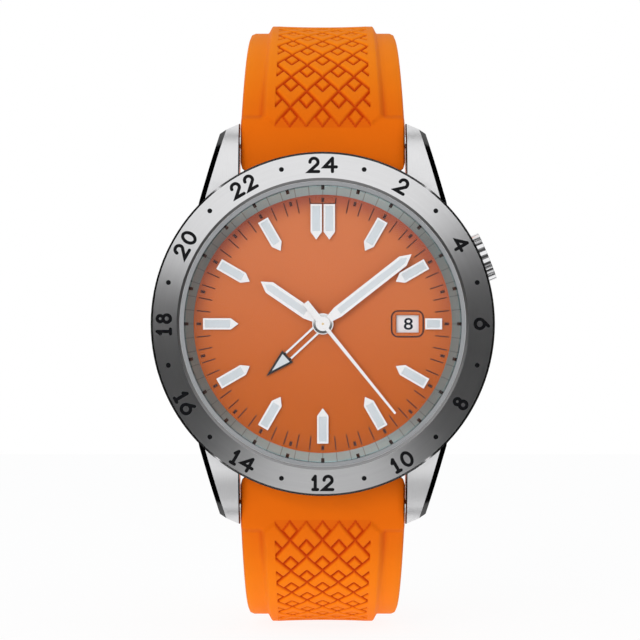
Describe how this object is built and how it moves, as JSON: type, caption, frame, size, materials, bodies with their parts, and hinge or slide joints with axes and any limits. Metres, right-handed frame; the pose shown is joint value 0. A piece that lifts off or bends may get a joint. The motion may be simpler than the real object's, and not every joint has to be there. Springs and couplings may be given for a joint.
{
  "type": "wristwatch",
  "caption": "World time wrist watch with a rotating 24 hour bezel, an extra 24 hour hand, a date window and an orange rubber strap on a steel case.",
  "frame": {"origin": "centre of the case back's outer face, on the axis of the hands", "axes": "+Y points from the dial to the case back, +Z towards 12 o'clock, +X towards 3 o'clock"},
  "size_m": [0.0415, 0.0642, 0.0752],
  "materials": {
    "brushed_steel": "brushed with a fine radial or straight grain",
    "polished_steel": "polished",
    "silvered_hand": "satin silver",
    "dark_hand": "polished frame",
    "orange_dial": "lacquered with a fine sunburst grain",
    "white_print": "matt white print",
    "black_fill": "matt black fill in engraved numerals",
    "lume": "matt luminous compound",
    "sapphire": "clear, polished",
    "pale_gasket": "pale nylon ring",
    "black_gasket": "black sealing rubber",
    "orange_rubber": "matt moulded rubber",
    "rhodium_plate": "plated, grained",
    "spring_steel": "tempered",
    "wheel_brass": "gilt brass",
    "ruby": "synthetic ruby"
  },
  "bodies": {
    "case": {"mid_case": "brushed_steel", "case_back": "brushed_steel", "case_back_gasket": "black_gasket", "crystal": "sapphire", "crystal_gasket": "pale_gasket", "rehaut": "polished_steel", "bezel_spring": "spring_steel", "crown_tube": "polished_steel", "lug_spring_bars": "polished_steel", "movement_ring": "rhodium_plate", "dial": "orange_dial", "hour_markers": "polished_steel", "hour_marker_lume": "lume", "main_plate": "rhodium_plate", "barrel_bridge": "rhodium_plate", "train_bridge": "rhodium_plate", "balance_cock": "rhodium_plate", "pallet_cock": "rhodium_plate", "movement_screws": "polished_steel", "jewels": "ruby", "rotor_bearing": "polished_steel", "hairspring": "spring_steel", "stem_retainer": "spring_steel"},
    "bezel": {"bezel": "brushed_steel", "bezel_numerals": "black_fill"},
    "crown_slide": {"crown_gasket": "black_gasket"},
    "crown": {"crown": "polished_steel", "stem": "polished_steel", "sliding_pinion": "polished_steel"},
    "second_hand": {"second_hand": "silvered_hand", "seconds_wheel": "wheel_brass"},
    "minute_hand": {"minute_hand": "polished_steel", "minute_hand_lume": "lume", "cannon_pinion": "wheel_brass"},
    "hour_hand": {"hour_hand": "polished_steel", "hour_hand_lume": "lume", "hour_wheel": "wheel_brass"},
    "gmt_hand": {"gmt_hand": "dark_hand", "gmt_hand_lume": "lume", "gmt_wheel": "wheel_brass"},
    "minute_wheel": {"minute_wheel": "wheel_brass"},
    "gmt_intermediate_wheel": {"gmt_intermediate_wheel": "wheel_brass"},
    "third_wheel": {"third_wheel": "wheel_brass"},
    "escape_wheel": {"escape_wheel": "wheel_brass"},
    "barrel": {"barrel": "rhodium_plate", "mainspring": "spring_steel"},
    "pallet_fork": {"pallet_fork": "spring_steel"},
    "balance_wheel": {"balance_wheel": "wheel_brass"},
    "rotor": {"rotor": "rhodium_plate"},
    "date_disc": {"date_disc": "white_print"},
    "strap_upper": {"strap_upper": "orange_rubber", "fixed_keeper": "orange_rubber"},
    "strap_lower": {"strap_lower": "orange_rubber"},
    "buckle": {"buckle_frame": "brushed_steel", "buckle_spring_bar": "polished_steel"},
    "buckle_tang": {"buckle_tang": "polished_steel"},
    "free_keeper": {"free_keeper": "orange_rubber"}
  },
  "joints": [
    {"name": "bezel_turn", "type": "hinge", "parent": "case", "child": "bezel", "pos_m": [0, -0.01, 0], "axis": [0, 1, 0], "continuous": true},
    {"name": "crown_pull", "type": "slide", "parent": "case", "child": "crown_slide", "axis": [0.9239, 0, 0.3827], "range_m": [0, 0.0012]},
    {"name": "crown_turn", "type": "hinge", "parent": "crown_slide", "child": "crown", "pos_m": [0.01755, -0.005, 0.00727], "axis": [0.9239, 0, 0.3827], "continuous": true},
    {"name": "second_hand_turn", "type": "hinge", "parent": "case", "child": "second_hand", "pos_m": [0, -0.008, 0], "axis": [0, 1, 0], "continuous": true},
    {"name": "minute_hand_turn", "type": "hinge", "parent": "case", "child": "minute_hand", "pos_m": [0, -0.008, 0], "axis": [0, 1, 0], "continuous": true},
    {"name": "hour_hand_turn", "type": "hinge", "parent": "case", "child": "hour_hand", "pos_m": [0, -0.008, 0], "axis": [0, 1, 0], "continuous": true},
    {"name": "gmt_hand_turn", "type": "hinge", "parent": "case", "child": "gmt_hand", "pos_m": [0, -0.007, 0], "axis": [0, 1, 0], "continuous": true},
    {"name": "minute_wheel_turn", "type": "hinge", "parent": "case", "child": "minute_wheel", "pos_m": [0.00187, -0.0055, -0.00325], "axis": [0, 1, 0], "continuous": true},
    {"name": "gmt_intermediate_turn", "type": "hinge", "parent": "case", "child": "gmt_intermediate_wheel", "pos_m": [-0.003, -0.006, 0.0052], "axis": [0, 1, 0], "continuous": true},
    {"name": "third_wheel_turn", "type": "hinge", "parent": "case", "child": "third_wheel", "pos_m": [-0.00078, -0.004, 0.0029], "axis": [0, 1, 0], "continuous": true},
    {"name": "escape_wheel_turn", "type": "hinge", "parent": "case", "child": "escape_wheel", "pos_m": [0.00076, -0.004, -0.00285], "axis": [0, 1, 0], "continuous": true},
    {"name": "barrel_turn", "type": "hinge", "parent": "case", "child": "barrel", "pos_m": [-0.00201, -0.004, 0.00749], "axis": [0, 1, 0], "continuous": true},
    {"name": "pallet_fork_rock", "type": "hinge", "parent": "case", "child": "pallet_fork", "pos_m": [0.00144, -0.004, -0.00536], "axis": [0, 1, 0], "range_deg": [-5, 5]},
    {"name": "balance_swing", "type": "hinge", "parent": "case", "child": "balance_wheel", "pos_m": [0.00204, -0.0033, -0.00763], "axis": [0, 1, 0], "range_deg": [-135, 135], "stiffness_Nm_per_rad": 0.000001},
    {"name": "rotor_swing", "type": "hinge", "parent": "case", "child": "rotor", "pos_m": [0, -0.002, 0], "axis": [0, 1, 0], "continuous": true},
    {"name": "date_disc_turn", "type": "hinge", "parent": "case", "child": "date_disc", "pos_m": [0, -0.0064, 0], "axis": [0, 1, 0], "continuous": true},
    {"name": "strap_upper_swing", "type": "hinge", "parent": "case", "child": "strap_upper", "pos_m": [0, -0.0035, 0.022], "axis": [1, 0, 0], "range_deg": [-3, 6]},
    {"name": "strap_lower_swing", "type": "hinge", "parent": "case", "child": "strap_lower", "pos_m": [0, -0.0035, -0.022], "axis": [-1, 0, 0], "range_deg": [-3, 6]},
    {"name": "buckle_swing", "type": "hinge", "parent": "strap_upper", "child": "buckle", "pos_m": [0, 0.03713, -0.0014], "axis": [1, 0, 0], "range_deg": [-60, 0]},
    {"name": "tang_swing", "type": "hinge", "parent": "buckle", "child": "buckle_tang", "pos_m": [0, 0.03713, -0.0014], "axis": [1, 0, 0], "range_deg": [0, 20]},
    {"name": "keeper_slide", "type": "slide", "parent": "strap_upper", "child": "free_keeper", "axis": [0, 0, 1], "range_m": [-0.0025, 0.004]}
  ],
  "couplings": [
    {"joint": "minute_wheel_turn", "follows": "minute_hand_turn", "ratio": -0.33333},
    {"joint": "hour_hand_turn", "follows": "minute_hand_turn", "ratio": 0.083333},
    {"joint": "gmt_intermediate_turn", "follows": "minute_hand_turn", "ratio": -0.083333},
    {"joint": "gmt_hand_turn", "follows": "minute_hand_turn", "ratio": 0.041667},
    {"joint": "third_wheel_turn", "follows": "second_hand_turn", "ratio": -0.14545},
    {"joint": "barrel_turn", "follows": "second_hand_turn", "ratio": 0.015222},
    {"joint": "escape_wheel_turn", "follows": "second_hand_turn", "ratio": -7}
  ]
}
